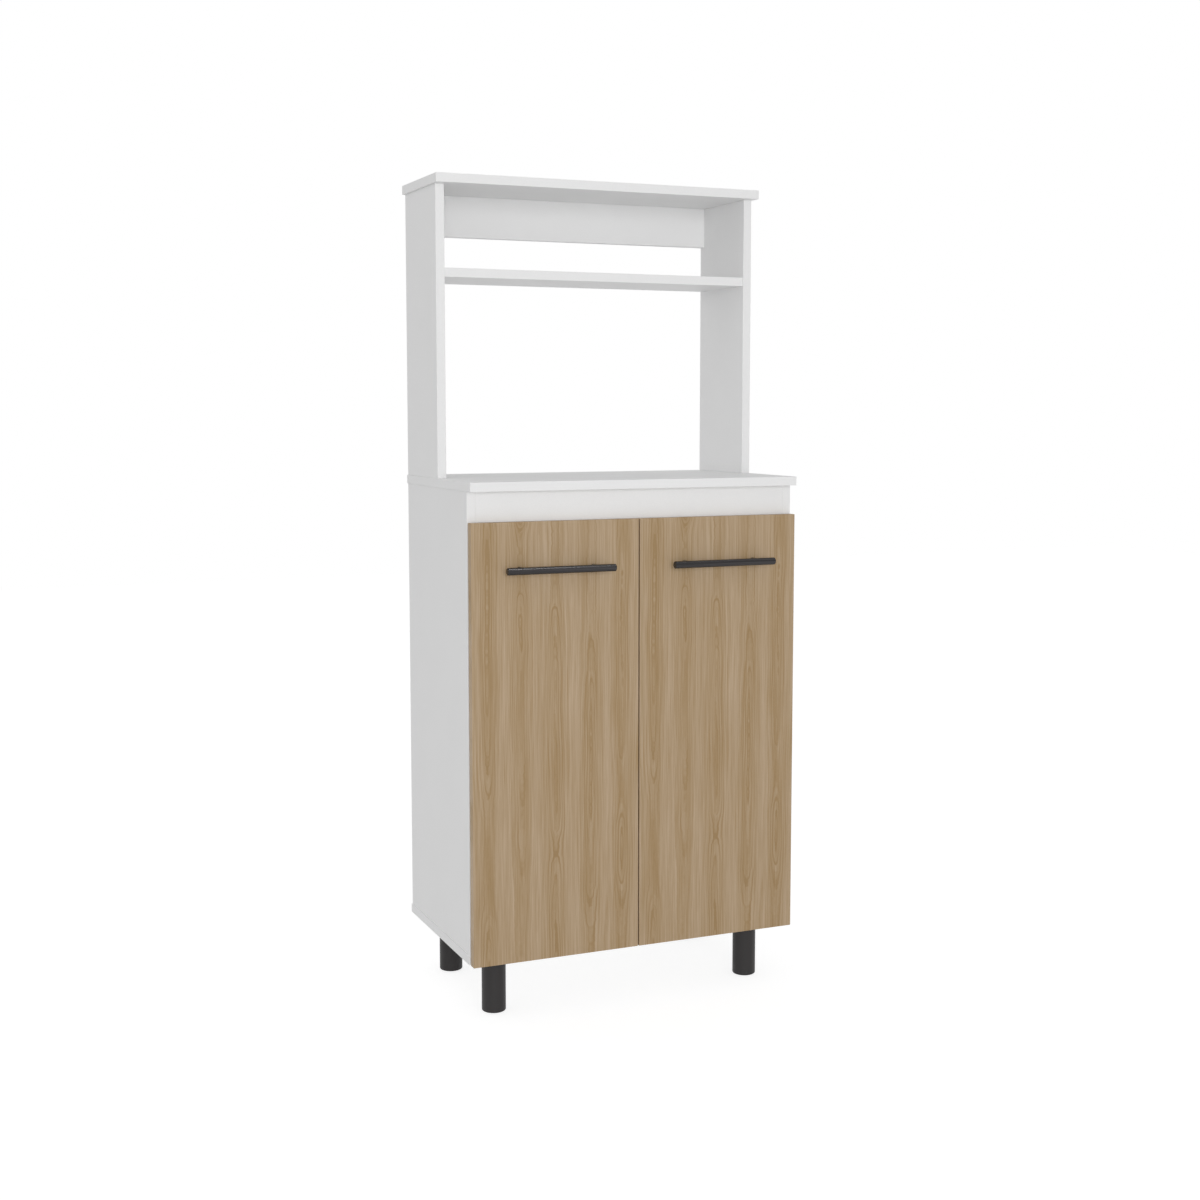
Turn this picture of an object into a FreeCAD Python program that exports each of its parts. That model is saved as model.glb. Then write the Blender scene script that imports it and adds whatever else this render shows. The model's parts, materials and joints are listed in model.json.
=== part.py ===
import FreeCAD, Part
import os
import re

from FreeCAD import Placement, Rotation, Vector

# Microwave cabinet: base cabinet on four legs, two overlay doors, worktop and open hutch.
# Millimetres, +Z up, front faces -Y, origin on the floor under the middle of the whole cabinet.

sizes = {
    # boards and carcass
    "board": 15.0,                # thickness of every melamine board
    "edge_round": 0.6,            # softened edge of the banding
    "carcass_width": 582.0,       # over the outer faces of the two sides
    "side_height": 750.0,
    "side_depth": 315.0,
    "base_overhang": 1.0,         # bottom panel past each side
    "worktop_overhang": 1.0,      # worktop past each side
    "worktop_nose": 20.0,         # worktop past the carcass front
    "rail_height": 70.0,          # front rail under the worktop
    "shelf_rise": 330.0,          # interior shelf's underside above the bottom panel
    "shelf_setback": 25.0,        # interior shelf behind the carcass front
    "panel_play": 0.3,            # between a fitted board's ends and its neighbours
    "back_thick": 3.0,            # hardboard back, covered by the rear overhangs
    "back_inset": 2.0,            # back panel short of the sides' outer faces
    # hutch
    "hutch_height": 480.0,
    "hutch_depth": 168.0,
    "top_overhang": 4.5,          # hutch top past each side
    "top_nose": 19.0,             # hutch top past the front of its sides
    "hutch_rail_height": 70.0,
    "upper_bay": 135.0,           # between the hutch shelf and the hutch top
    "hutch_shelf_setback": 2.5,   # hutch shelf behind the front of its sides
    "hutch_shelf_gap": 5.5,       # and ahead of their rear
    # doors
    "door_thick": 15.0,
    "door_top_gap": 49.0,         # door's top edge below the worktop
    "door_reveal": 0.5,           # door edge inside the carcass side's outer face
    "door_split": 2.0,            # between the two doors
    "door_gap": 2.4,              # between door and carcass, for the edge to swing past
    "hinge_edge_round": 2.0,      # door's rear edge on the hinge side
    "bumper_diameter": 8.0,
    "bumper_play": 0.3,           # bumper short of the carcass
    "bumper_inset": 25.0,         # bumper from the door's free edge
    # handles
    "bar_diameter": 12.0,
    "bar_length": 186.0,
    "bar_bevel": 0.8,
    "handle_reach": 30.0,         # door face to the front of the bar
    "post_spacing": 128.0,
    "post_diameter": 10.0,
    "handle_drop": 76.0,          # bar's axis below the door's top edge
    "handle_screw": 4.0,
    "handle_screw_grip": 10.0,    # screw's length inside the post
    "handle_screw_head": 8.0,
    "handle_head_thick": 2.2,
    # legs
    "leg_height": 98.0,
    "leg_diameter": 40.0,
    "leg_round": 2.5,             # rounded foot edge
    "leg_from_side": 57.0,        # leg's axis from the carcass side
    "leg_from_front": 47.0,
    "leg_from_rear": 43.0,
    "stud_diameter": 8.0,
    "stud_in_leg": 20.0,
    "stud_in_panel": 10.0,
    "insert_wall": 2.0,
    "insert_skin": 3.0,           # board left above the insert
    "glide_margin": 5.0,          # glide inside the leg's edge
    "glide_thick": 3.0,
    "glide_proud": 1.0,
    # fasteners
    "fit": 0.1,                   # radial clearance of a fastener in its hole
    "hole_spare": 0.5,            # hole deeper than its fastener
    "dowel_diameter": 8.0,
    "dowel_in_face": 10.0,
    "dowel_in_edge": 20.0,
    "cam_diameter": 15.0,
    "cam_skin": 2.5,              # board left behind the cam
    "cam_sink": 0.3,              # cam below the board's face
    "cam_setback": 34.0,          # cam's axis from the board's end
    "cam_key": 5.0,               # square drive across its flats
    "cam_key_depth": 2.0,
    "bolt_diameter": 5.0,
    "bolt_grip": 11.0,            # bolt's length inside the board it screws into
    "bolt_head": 7.0,
    "bolt_head_length": 4.0,
    "bolt_past": 1.0,             # bolt's end past the cam's axis
    "bolt_play": 0.5,             # around the bolt's head on its way to the cam
    "screw_core": 5.0,            # one-piece connecting screws
    "screw_shank": 7.0,
    "screw_head": 10.0,
    "screw_head_thick": 3.0,
    "screw_length": 50.0,
    "screw_key": 4.0,             # hexagon across its flats
    "screw_key_depth": 2.0,
    "cap_diameter": 13.0,
    "cap_thick": 1.0,
    "nail_diameter": 1.4,
    "nail_length": 20.0,
    "nail_head": 4.0,
    "nail_head_thick": 0.6,
    "nail_margin": 40.0,          # first nail from the panel's end
    # places of the fasteners
    "near_rear": 50.0,            # carcass fasteners ahead of the rear
    "near_front": 60.0,           # and behind the carcass front
    "hutch_near_rear": 30.0,
    "hutch_near_front": 30.0,
    # concealed cup hinges with one pin, measured in from the door's edge and out from its rear face
    "hinge_from_end": 100.0,      # hinge from the door's top or bottom edge
    "cup_diameter": 35.0,
    "cup_from_edge": 3.0,         # bore from the door's edge
    "cup_skin": 2.2,              # door left in front of the cup
    "cup_wall": 1.2,
    "cup_floor": 0.8,
    "rim_lip": 0.5,               # rim past the cup's bore
    "flange_thick": 0.7,
    "flange_width": 20.0,
    "flange_margin": 7.0,         # flange past its screws
    "flange_round": 5.0,
    "cup_screw_spacing": 48.0,
    "cup_screw_offset": 6.0,      # screws past the cup's axis
    "small_screw": 3.5,
    "small_screw_grip": 11.0,
    "small_head": 7.0,
    "small_head_thick": 1.6,
    "pin_diameter": 3.0,
    "pin_play": 0.05,
    "eye_wall": 1.1,
    "eye_play": 0.3,              # between the eye's ends and the cup's lugs
    "eye_from_wall": 1.0,         # eye from the cup's wall
    "eye_from_floor": 0.4,        # eye from the cup's floor
    "lug_length": 4.2,            # each end of the pin, held in the cup
    "hook_width": 9.0,
    "arm_thick": 2.0,
    "arm_rise": 5.5,              # arm's underside above the carcass side
    "arm_width": 15.0,
    "arm_setback": 6.0,           # channel of the arm behind the carcass front
    "arm_length": 54.0,
    "arm_bend": 3.0,
    "skirt_gap": 0.5,             # arm's skirts above the plate's wings
    "skirt_thick": 1.2,
    "rib_play": 0.2,              # plate's rib inside the skirts
    "arm_screw": 4.5,
    "arm_screw_margin": 9.0,
    "plate_thick": 2.0,
    "plate_width": 14.0,
    "plate_margin": 8.0,          # wings past their screws
    "plate_setback": 37.0,        # screws behind the carcass front
    "plate_screw_gap": 3.8,       # screw heads from the arm's skirts
}

# Lengths that follow from the sizes above
derived = {
    "half_width": "carcass_width / 2",
    "inner_half": "half_width - board",
    "side_mid": "half_width - board / 2",
    "depth_over_all": "back_thick + side_depth + door_gap + door_thick + handle_reach",
    "rear": "depth_over_all / 2 - back_thick",
    "front": "rear - side_depth",
    "door_back": "front - door_gap",
    "door_face": "door_back - door_thick",
    "side_foot": "leg_height + board",
    "worktop_foot": "side_foot + side_height",
    "hutch_foot": "worktop_foot + board",
    "hutch_top_foot": "hutch_foot + hutch_height",
    "rail_mid": "worktop_foot - rail_height / 2",
    "shelf_mid": "side_foot + shelf_rise + board / 2",
    "hutch_shelf_mid": "hutch_top_foot - upper_bay - board / 2",
    "hutch_shelf_front": "rear - hutch_depth + hutch_shelf_setback",
    "hutch_shelf_depth": "hutch_depth - hutch_shelf_setback - hutch_shelf_gap",
    "hutch_rail_mid": "hutch_top_foot - hutch_rail_height / 2",
    "door_width": "half_width - door_reveal - door_split / 2",
    "door_top": "worktop_foot - door_top_gap",
    "door_height": "door_top - leg_height",
    "handle_height": "door_top - handle_drop",
    "bar_axis": "door_face - handle_reach + bar_diameter / 2",
    "insert_diameter": "stud_diameter + 2 * insert_wall",
    "insert_depth": "board - insert_skin",
    "glide_diameter": "leg_diameter - 2 * glide_margin",
    "cam_depth": "board - cam_skin",
    "bolt_way": "bolt_head + 2 * bolt_play",
    "worktop_cam_line": "rear - (hutch_near_rear + hutch_depth / 2) / 2",
    "worktop_dowel_line": "(front + near_front + rear - hutch_depth) / 2",
    "cup_axis": "door_reveal + cup_from_edge + cup_diameter / 2",
    "cup_depth": "door_thick - cup_skin",
    "rim_diameter": "cup_diameter + 2 * rim_lip",
    "flange_height": "cup_screw_spacing + 2 * flange_margin",
    "eye_diameter": "pin_diameter + 2 * eye_wall",
    "pin_length": "hook_width + 2 * (eye_play + lug_length)",
    "pin_axis": "door_reveal + cup_from_edge + cup_wall + eye_from_wall + eye_diameter / 2",
    "pin_sink": "cup_depth - cup_floor - eye_from_floor - eye_diameter / 2",
    "arm_under": "board + arm_rise",
    "arm_start": "door_gap + arm_setback",
    "skirt_depth": "arm_rise - plate_thick - skirt_gap",
    "plate_line": "door_gap + plate_setback",
    "plate_screw_spacing": "arm_width + 2 * (skirt_thick + plate_screw_gap) + small_head",
    "plate_span": "plate_screw_spacing + 2 * plate_margin",
}

doc = FreeCAD.newDocument("MicrowaveCabinet")
sheet = doc.addObject("Spreadsheet::Sheet", "Sizes")
for row, (alias, value) in enumerate(sizes.items(), 1):
    sheet.set(f"A{row}", alias)
    sheet.set(f"B{row}", str(value))
    sheet.setAlias(f"B{row}", alias)
doc.recompute()

UP, DOWN = (0, 0, 1), (0, 0, -1)
RIGHT, LEFT = (1, 0, 0), (-1, 0, 0)
BACKWARD, FORWARD = (0, 1, 0), (0, -1, 0)
SIDES = {"left": -1, "right": 1}

nodes = {}
drillings = {}


def cells(text):
    # A length in words, as an expression on the sheet's cells
    def cell(found):
        word = found.group()
        if word in derived:
            return f"({cells(derived[word])})"
        return f"Sizes.{word}" if word in sizes else word
    return re.sub(r"[a-z][a-z_]*", cell, str(text))


def bind(thing, **lengths):
    for name, text in lengths.items():
        thing.setExpression(name, cells(text))


def put(thing, point):
    for letter, text in zip("xyz", point):
        thing.setExpression(f"Placement.Base.{letter}", cells(text))


def shift(point, axis, distance):
    return tuple(f"{text} + {way} * ({distance})" if way else text for text, way in zip(point, axis))


def flip(axis):
    return tuple(-way for way in axis)


def box(name, start, length, width, height):
    thing = doc.addObject("Part::Box", name)
    bind(thing, Length=length, Width=width, Height=height)
    put(thing, start)
    return thing


def rod(name, diameter, length, start, axis):
    thing = doc.addObject("Part::Cylinder", name)
    thing.Placement = Placement(Vector(), Rotation(Vector(0, 0, 1), Vector(*axis)))
    bind(thing, Radius=f"({diameter}) / 2", Height=length)
    put(thing, start)
    return thing


def prism(name, sides, across, length, start, axis):
    # Straight bar with flat sides, given across its flats
    thing = doc.addObject("Part::Prism", name)
    thing.Polygon = sides
    thing.Placement = Placement(Vector(), Rotation(Vector(0, 0, 1), Vector(*axis)))
    bind(thing, Circumradius=f"({across}) / 2 / cos(180 / {sides} * 1 deg)", Height=length)
    put(thing, start)
    return thing


def compound(name, things):
    group = doc.addObject("Part::Compound", name)
    group.Links = things
    return group


def fuse(name, things):
    union = doc.addObject("Part::MultiFuse", name)
    union.Shapes = things
    return union


def cut(name, base, tools):
    rest = doc.addObject("Part::Cut", name)
    rest.Base = base
    rest.Tool = tools[0] if len(tools) == 1 else fuse(f"{name}_cuts", tools)
    return rest


def soften(name, base, radius, edges):
    # Rounded edges, picked by their numbers on the base solid
    rounded = doc.addObject("Part::Fillet", name)
    rounded.Base = base
    rounded.Edges = [(edge, radius, radius) for edge in edges]
    return rounded


def board(name, start, length, width, height):
    blank = box(f"{name}_blank", start, length, width, height)
    doc.recompute()
    nodes[name] = soften(f"{name}_edges", blank, sizes["edge_round"], range(1, 13))
    drillings[name] = []


def drill(name, diameter, depth, start, axis):
    hole = rod(f"{name}_hole_{len(drillings[name]) + 1}", diameter, depth, start, axis)
    drillings[name].append(hole)


def group(name, thing):
    nodes.setdefault(name, []).append(thing)


# Carcass boards
board("bottom_panel", ("-half_width - base_overhang", "front", "leg_height"),
      "carcass_width + 2 * base_overhang", "side_depth + back_thick", "board")
board("worktop", ("-half_width - worktop_overhang", "front - worktop_nose", "worktop_foot"),
      "carcass_width + 2 * worktop_overhang", "side_depth + worktop_nose + back_thick", "board")
for name, way in SIDES.items():
    board(f"{name}_side_panel", (f"{way} * side_mid - board / 2", "front", "side_foot"),
          "board", "side_depth", "side_height")
board("front_rail", ("-inner_half", "front", "worktop_foot - rail_height"),
      "2 * inner_half", "board", "rail_height")
board("interior_shelf", ("-inner_half", "front + shelf_setback", "shelf_mid - board / 2"),
      "2 * inner_half", "side_depth - shelf_setback", "board")
nodes["back_panel"] = box("back_panel_sheet", ("-half_width + back_inset", "rear", "side_foot + panel_play"),
                          "carcass_width - 2 * back_inset", "back_thick", "side_height - 2 * panel_play")
drillings["back_panel"] = []

# Hutch boards
for name, way in SIDES.items():
    board(f"hutch_{name}_side", (f"{way} * side_mid - board / 2", "rear - hutch_depth", "hutch_foot"),
          "board", "hutch_depth", "hutch_height")
board("hutch_top", ("-half_width - top_overhang", "rear - hutch_depth - top_nose", "hutch_top_foot"),
      "carcass_width + 2 * top_overhang", "hutch_depth + top_nose + back_thick", "board")
board("hutch_shelf", ("-inner_half", "hutch_shelf_front", "hutch_shelf_mid - board / 2"),
      "2 * inner_half", "hutch_shelf_depth", "board")
board("hutch_back_rail", ("-inner_half", "rear - board", "hutch_top_foot - hutch_rail_height"),
      "2 * inner_half", "board", "hutch_rail_height")


def dowel(face_board, edge_board, point, axis):
    # Half in the face of one board, the rest along the axis into the edge of the other
    bore = "dowel_diameter + 2 * fit"
    drill(face_board, bore, "dowel_in_face + hole_spare", point, flip(axis))
    drill(edge_board, bore, "dowel_in_edge + hole_spare", point, axis)
    start = shift(point, flip(axis), "dowel_in_face")
    group("wood_dowels", rod("dowel", "dowel_diameter", "dowel_in_face + dowel_in_edge", start, axis))


def cam_joint(bolt_board, cam_board, point, axis, open_to):
    # The bolt stands in one board's face along the axis, and the other board's cam grips its head
    centre = shift(point, axis, "cam_setback")
    mouth = shift(centre, open_to, "board / 2")
    into = flip(open_to)
    drill(bolt_board, "bolt_diameter + 2 * fit", "bolt_grip + hole_spare", point, flip(axis))
    drill(cam_board, "bolt_way", "cam_setback", point, axis)
    drill(cam_board, "cam_diameter + 2 * fit", "cam_depth", mouth, into)
    disc = rod("cam_disc", "cam_diameter", "cam_depth - cam_sink - fit", shift(mouth, into, "cam_sink"), into)
    beyond = shift(centre, axis, "bolt_past + hole_spare")
    hollow = rod("cam_hollow", "bolt_way", "cam_diameter", beyond, flip(axis))
    recess = prism("cam_recess", 4, "cam_key", "cam_key_depth + cam_sink", mouth, into)
    group("cam_locks", cut("cam_lock", disc, [hollow, recess]))
    root = shift(point, flip(axis), "bolt_grip")
    stem = rod("bolt_stem", "bolt_diameter", "bolt_grip + cam_setback", root, axis)
    tip = shift(centre, axis, "bolt_past")
    head = rod("bolt_end", "bolt_head", "bolt_head_length", tip, flip(axis))
    group("cam_bolts", fuse("cam_bolt", [stem, head]))


def screw_joint(face_board, edge_board, point, axis, capped):
    # One-piece connecting screw from a board's outer face along the axis into the next board's edge
    sink = "cap_thick" if capped else "0"
    top = shift(point, axis, sink)
    joint = shift(point, axis, "board")
    drill(face_board, "screw_shank + 2 * fit", "board", point, axis)
    drill(face_board, "screw_head + 2 * fit", f"screw_head_thick + fit + {sink}", point, axis)
    drill(edge_board, "screw_core + 2 * fit", "screw_length - board + hole_spare", joint, axis)
    head = rod("screw_top", "screw_head", "screw_head_thick", top, axis)
    shank = rod("screw_neck", "screw_shank", f"board - {sink}", top, axis)
    core = rod("screw_thread", "screw_core", f"screw_length - {sink}", top, axis)
    key = prism("screw_socket", 6, "screw_key", "screw_key_depth", top, axis)
    group("connecting_screws", cut("connecting_screw", fuse("screw_body", [head, shank, core]), [key]))
    if capped:
        drill(face_board, "cap_diameter + 2 * fit", "cap_thick", point, axis)
        group("screw_caps", rod("screw_cap", "cap_diameter", "cap_thick", point, axis))


# Joints between the boards, at distances ahead of the rear faces of the sides
for name, way in SIDES.items():
    inward = LEFT if way > 0 else RIGHT
    mid, face = f"{way} * side_mid", f"{way} * inner_half"
    carcass, hutch = f"{name}_side_panel", f"hutch_{name}_side"
    for place in ("rear - near_rear", "front + near_front"):
        screw_joint("bottom_panel", carcass, (mid, place, "leg_height"), UP, False)
        cam_joint(carcass, "interior_shelf", (face, place, "shelf_mid"), inward, DOWN)
    for place in ("worktop_cam_line", "front + near_front"):
        cam_joint("worktop", carcass, (mid, place, "worktop_foot"), DOWN, inward)
    dowel("bottom_panel", carcass, (mid, "rear - side_depth / 2", "side_foot"), UP)
    dowel("worktop", carcass, (mid, "worktop_dowel_line", "worktop_foot"), DOWN)
    for place in ("rear - hutch_near_rear", "rear - hutch_depth + hutch_near_front"):
        screw_joint("worktop", hutch, (mid, place, "worktop_foot"), UP, False)
        screw_joint("hutch_top", hutch, (mid, place, "hutch_top_foot + board"), DOWN, True)
        cam_joint(hutch, "hutch_shelf", (face, place, "hutch_shelf_mid"), inward, UP)
    dowel("worktop", hutch, (mid, "rear - hutch_depth / 2", "hutch_foot"), UP)
    dowel("hutch_top", hutch, (mid, "rear - hutch_depth / 2", "hutch_top_foot"), DOWN)
    for side, rail, y, height in ((carcass, "front_rail", "front + board / 2", "rail_height"),
                                  (hutch, "hutch_back_rail", "rear - board / 2", "hutch_rail_height")):
        middle = "rail_mid" if rail == "front_rail" else "hutch_rail_mid"
        cam_joint(side, rail, (face, y, f"{middle} + {height} / 4"), inward, BACKWARD)
        dowel(side, rail, (face, y, f"{middle} - {height} / 4"), inward)

# Nails through the back panel into the sides and the interior shelf
nail_places = [("interior_shelf", f"{step} / 4 * carcass_width", "shelf_mid") for step in (-1, 0, 1)]
for name, way in SIDES.items():
    for step in range(5):
        rise = f"nail_margin + {step} / 4 * (side_height - 2 * nail_margin)"
        nail_places.append((f"{name}_side_panel", f"{way} * side_mid", f"side_foot + {rise}"))
for target, x, z in nail_places:
    head = (x, "rear + back_thick", z)
    behind = (x, "rear", z)
    drill("back_panel", "nail_head + 2 * fit", "nail_head_thick + fit", head, FORWARD)
    drill("back_panel", "nail_diameter + 2 * fit", "back_thick", head, FORWARD)
    drill(target, "nail_diameter + 2 * fit", "nail_length - back_thick + hole_spare", behind, FORWARD)
    group("back_panel_nails", fuse("nail", [rod("nail_disc", "nail_head", "nail_head_thick", head, FORWARD),
                                            rod("nail_wire", "nail_diameter", "nail_length", head, FORWARD)]))


def edges_where(thing, keep):
    # Numbers of the solid's edges whose middle passes the test
    doc.recompute()
    span = thing.Shape.BoundBox
    return [number for number, edge in enumerate(thing.Shape.Edges, 1) if keep(edge.CenterOfMass, span)]


# Legs: a screwed-in stud holds each one in a threaded insert under the bottom panel
for end, y in (("front", "front + leg_from_front"), ("back", "rear - leg_from_rear")):
    for name, way in SIDES.items():
        x = f"{way} * (half_width - leg_from_side)"
        top = (x, y, "leg_height")
        foot = (x, y, "glide_proud")
        blank = rod("leg_blank", "leg_diameter", "leg_height - glide_proud", foot, UP)
        low_edge = edges_where(blank, lambda middle, span: middle.z < span.ZMin + span.ZLength / 4)
        leg = soften("leg_foot", blank, sizes["leg_round"], low_edge)
        nodes[f"{end}_{name}_leg"] = cut(f"{end}_{name}_leg", leg, [
            rod("stud_way", "stud_diameter + 2 * fit", "stud_in_leg + hole_spare", top, DOWN),
            rod("glide_way", "glide_diameter + 2 * fit", "glide_thick - glide_proud", foot, UP)])
        group("leg_glides", rod("glide", "glide_diameter", "glide_thick", (x, y, "0"), UP))
        stud_foot = shift(top, DOWN, "stud_in_leg")
        group("leg_studs", rod("stud", "stud_diameter", "stud_in_leg + stud_in_panel", stud_foot, UP))
        drill("bottom_panel", "insert_diameter + 2 * fit", "insert_depth + hole_spare", top, UP)
        group("leg_inserts", cut("leg_insert", rod("insert_body", "insert_diameter", "insert_depth", top, UP),
                                 [rod("insert_way", "stud_diameter + 2 * fit", "insert_depth", top, UP)]))


# Left door, drawn with its own cups, pins, handle and bumpers, then mirrored to the right
def mirrored(name, source):
    copy = doc.addObject("Part::Mirroring", name)
    copy.Source = source
    copy.Normal = Vector(1, 0, 0)
    return copy


def at_hinge(inward, outward, height):
    # A point by its distances from the carcass side's outer face and the door's rear face
    return (f"-half_width + ({inward})", f"door_back + ({outward})", height)


def block(name, inward, outward, height, spans):
    # Box between two distances each way, and across the hinge's height
    (near, far), (low, high) = inward, outward
    start = at_hinge(near, low, f"{height} - ({spans}) / 2")
    return box(name, start, f"{far} - ({near})", f"{high} - ({low})", spans)


door_x, door_far = "-half_width + door_reveal", "-door_split / 2"
blank = box("left_door_blank", (door_x, "door_face", "leg_height"), "door_width", "door_thick", "door_height")
hinge_edge = edges_where(blank, lambda middle, span: middle.x < span.XMin + 1 and middle.y > span.YMax - 1)
others = [number for number in range(1, 13) if number not in hinge_edge]
door = soften("left_door_hinge_edge", blank, sizes["edge_round"], others)
wide = sizes["hinge_edge_round"]
door.Edges = door.Edges + [(number, wide, wide) for number in hinge_edge]
nodes["left_door"] = door
drillings["left_door"] = []

heights = {"upper": "door_top - hinge_from_end", "lower": "leg_height + hinge_from_end"}
for place, height in heights.items():
    # cup, pressed into the door's bore and screwed through its flange
    axis = at_hinge("cup_axis", "0", height)
    rim = shift(axis, BACKWARD, "flange_thick")
    drill("left_door", "cup_diameter + 2 * fit", "cup_depth + fit", axis, FORWARD)
    middle = "cup_axis + cup_screw_offset"
    flange = block("flange_blank", (f"{middle} - flange_width / 2", f"{middle} + flange_width / 2"),
                   ("0", "flange_thick"), height, "flange_height")
    corners = edges_where(flange, lambda middle, span: abs(middle.y - span.Center.y) < 0.01)
    pin_point = at_hinge("pin_axis", "-pin_sink", f"{height} - pin_length / 2")
    dish = rod("cup_body", "cup_diameter", "cup_depth + flange_thick", rim, FORWARD)
    hollow = rod("cup_inside", "cup_diameter - 2 * cup_wall", "cup_depth - cup_floor + flange_thick",
                 rim, FORWARD)
    flat = fuse("cup_flange", [soften("flange", flange, sizes["flange_round"], corners),
                               rod("cup_rim", "rim_diameter", "flange_thick", rim, FORWARD), dish])
    bar = rod("lug_bar", "eye_diameter", "pin_length", pin_point, UP)
    gap = rod("lug_gap", "2 * eye_diameter", "hook_width + 2 * eye_play",
              shift(pin_point, UP, "(pin_length - hook_width) / 2 - eye_play"), UP)
    lugs = doc.addObject("Part::MultiCommon", "cup_lugs")
    lugs.Shapes = [cut("lug_pair", bar, [gap]), dish]
    shell = fuse("cup_outside", [cut("cup_shell", flat, [hollow]), lugs])
    openings = [rod("cup_pin_way", "pin_diameter + 2 * pin_play", "pin_length + 2 * pin_play", pin_point, UP)]
    for way in SIDES.values():
        screw_face = at_hinge(middle, "flange_thick", f"{height} + {way} * cup_screw_spacing / 2")
        openings.append(rod("cup_screw_way", "small_screw + 2 * fit", "flange_thick", screw_face, FORWARD))
        drill("left_door", "small_screw + 2 * fit", "small_screw_grip + hole_spare", screw_face, FORWARD)
        head = rod("cup_screw_head", "small_head", "small_head_thick", screw_face, BACKWARD)
        shaft = rod("cup_screw_shaft", "small_screw", "small_screw_grip", screw_face, FORWARD)
        group("left_cup_screws", fuse("cup_screw", [head, shaft]))
    nodes[f"left_{place}_hinge_cup"] = cut(f"left_{place}_hinge_cup", shell, openings)
    group("left_hinge_pins", rod("hinge_pin", "pin_diameter", "pin_length", pin_point, UP))

    # arm: an eye on the pin, a hook out of the cup and a channel over the plate's rib
    crown = ("arm_under", "arm_under + arm_thick")
    low = "-pin_sink - arm_thick / 2"
    floor = block("hook_floor", ("pin_axis", crown[1]), (low, f"{low} + arm_thick"), height, "hook_width")
    wall = block("hook_wall", crown, (low, "arm_start + arm_thick"), height, "hook_width")
    hook = fuse("hook_blank", [floor, wall])
    hook.Refine = True
    bend = edges_where(hook, lambda middle, span: middle.x > span.XMax - 0.01 and middle.y < span.YMin + 0.01)
    hook = soften("hook", hook, sizes["arm_bend"], bend)
    channel = ("arm_start", "arm_start + arm_length")
    eye_foot = shift(pin_point, UP, "(pin_length - hook_width) / 2")
    pieces = [hook, block("arm_crown", crown, channel, height, "arm_width"),
              rod("arm_eye", "eye_diameter", "hook_width", eye_foot, UP)]
    for way in SIDES.values():
        side = f"{height} + {way} * (arm_width + skirt_thick) / 2"
        pieces.append(block("arm_skirt", ("arm_under - skirt_depth", crown[1]), channel, side, "skirt_thick"))
    openings = [rod("arm_pin_way", "pin_diameter + 2 * pin_play", "pin_length", pin_point, UP)]

    # plate: two wings screwed to the carcass side, and the rib that carries the arm
    rib_end = ("arm_start + arm_thick", "arm_start + arm_length - arm_thick")
    rib = block("plate_rib", ("board", "arm_under"), rib_end, height, "arm_width - 2 * rib_play")
    wings = block("plate_wings", ("board", "board + plate_thick"),
                  ("plate_line - plate_width / 2", "plate_line + plate_width / 2"), height, "plate_span")
    plate_openings = []
    for spot in ("arm_start + arm_screw_margin", "arm_start + arm_length - arm_screw_margin"):
        seat = at_hinge(crown[1], spot, height)
        openings.append(rod("arm_screw_way", "arm_screw + 2 * fit", "arm_thick", seat, LEFT))
        plate_openings.append(rod("rib_screw_way", "arm_screw + 2 * fit", "arm_thick + arm_rise", seat, LEFT))
        head = rod("arm_screw_head", "small_head", "small_head_thick", seat, RIGHT)
        shaft = rod("arm_screw_shaft", "arm_screw", "arm_thick + arm_rise - hole_spare", seat, LEFT)
        group("left_arm_screws", fuse("arm_screw", [head, shaft]))
    for way in SIDES.values():
        seat = at_hinge("board + plate_thick", "plate_line", f"{height} + {way} * plate_screw_spacing / 2")
        plate_openings.append(rod("wing_screw_way", "small_screw + 2 * fit", "plate_thick", seat, LEFT))
        for name, turn in SIDES.items():
            screw_x = f"{turn} * (half_width - board)"
            drill(f"{name}_side_panel", "small_screw + 2 * fit", "small_screw_grip + hole_spare",
                  (screw_x, seat[1], seat[2]), RIGHT if turn > 0 else LEFT)
        head = rod("plate_screw_head", "small_head", "small_head_thick", seat, RIGHT)
        shaft = rod("plate_screw_shaft", "small_screw", "small_screw_grip + plate_thick", seat, LEFT)
        group("left_plate_screws", fuse("plate_screw", [head, shaft]))
    nodes[f"left_{place}_hinge_arm"] = cut(f"left_{place}_hinge_arm", fuse("arm_blank", pieces), openings)
    nodes[f"left_{place}_hinge_plate"] = cut(f"left_{place}_hinge_plate", fuse("plate_blank", [rib, wings]),
                                             plate_openings)

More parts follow.
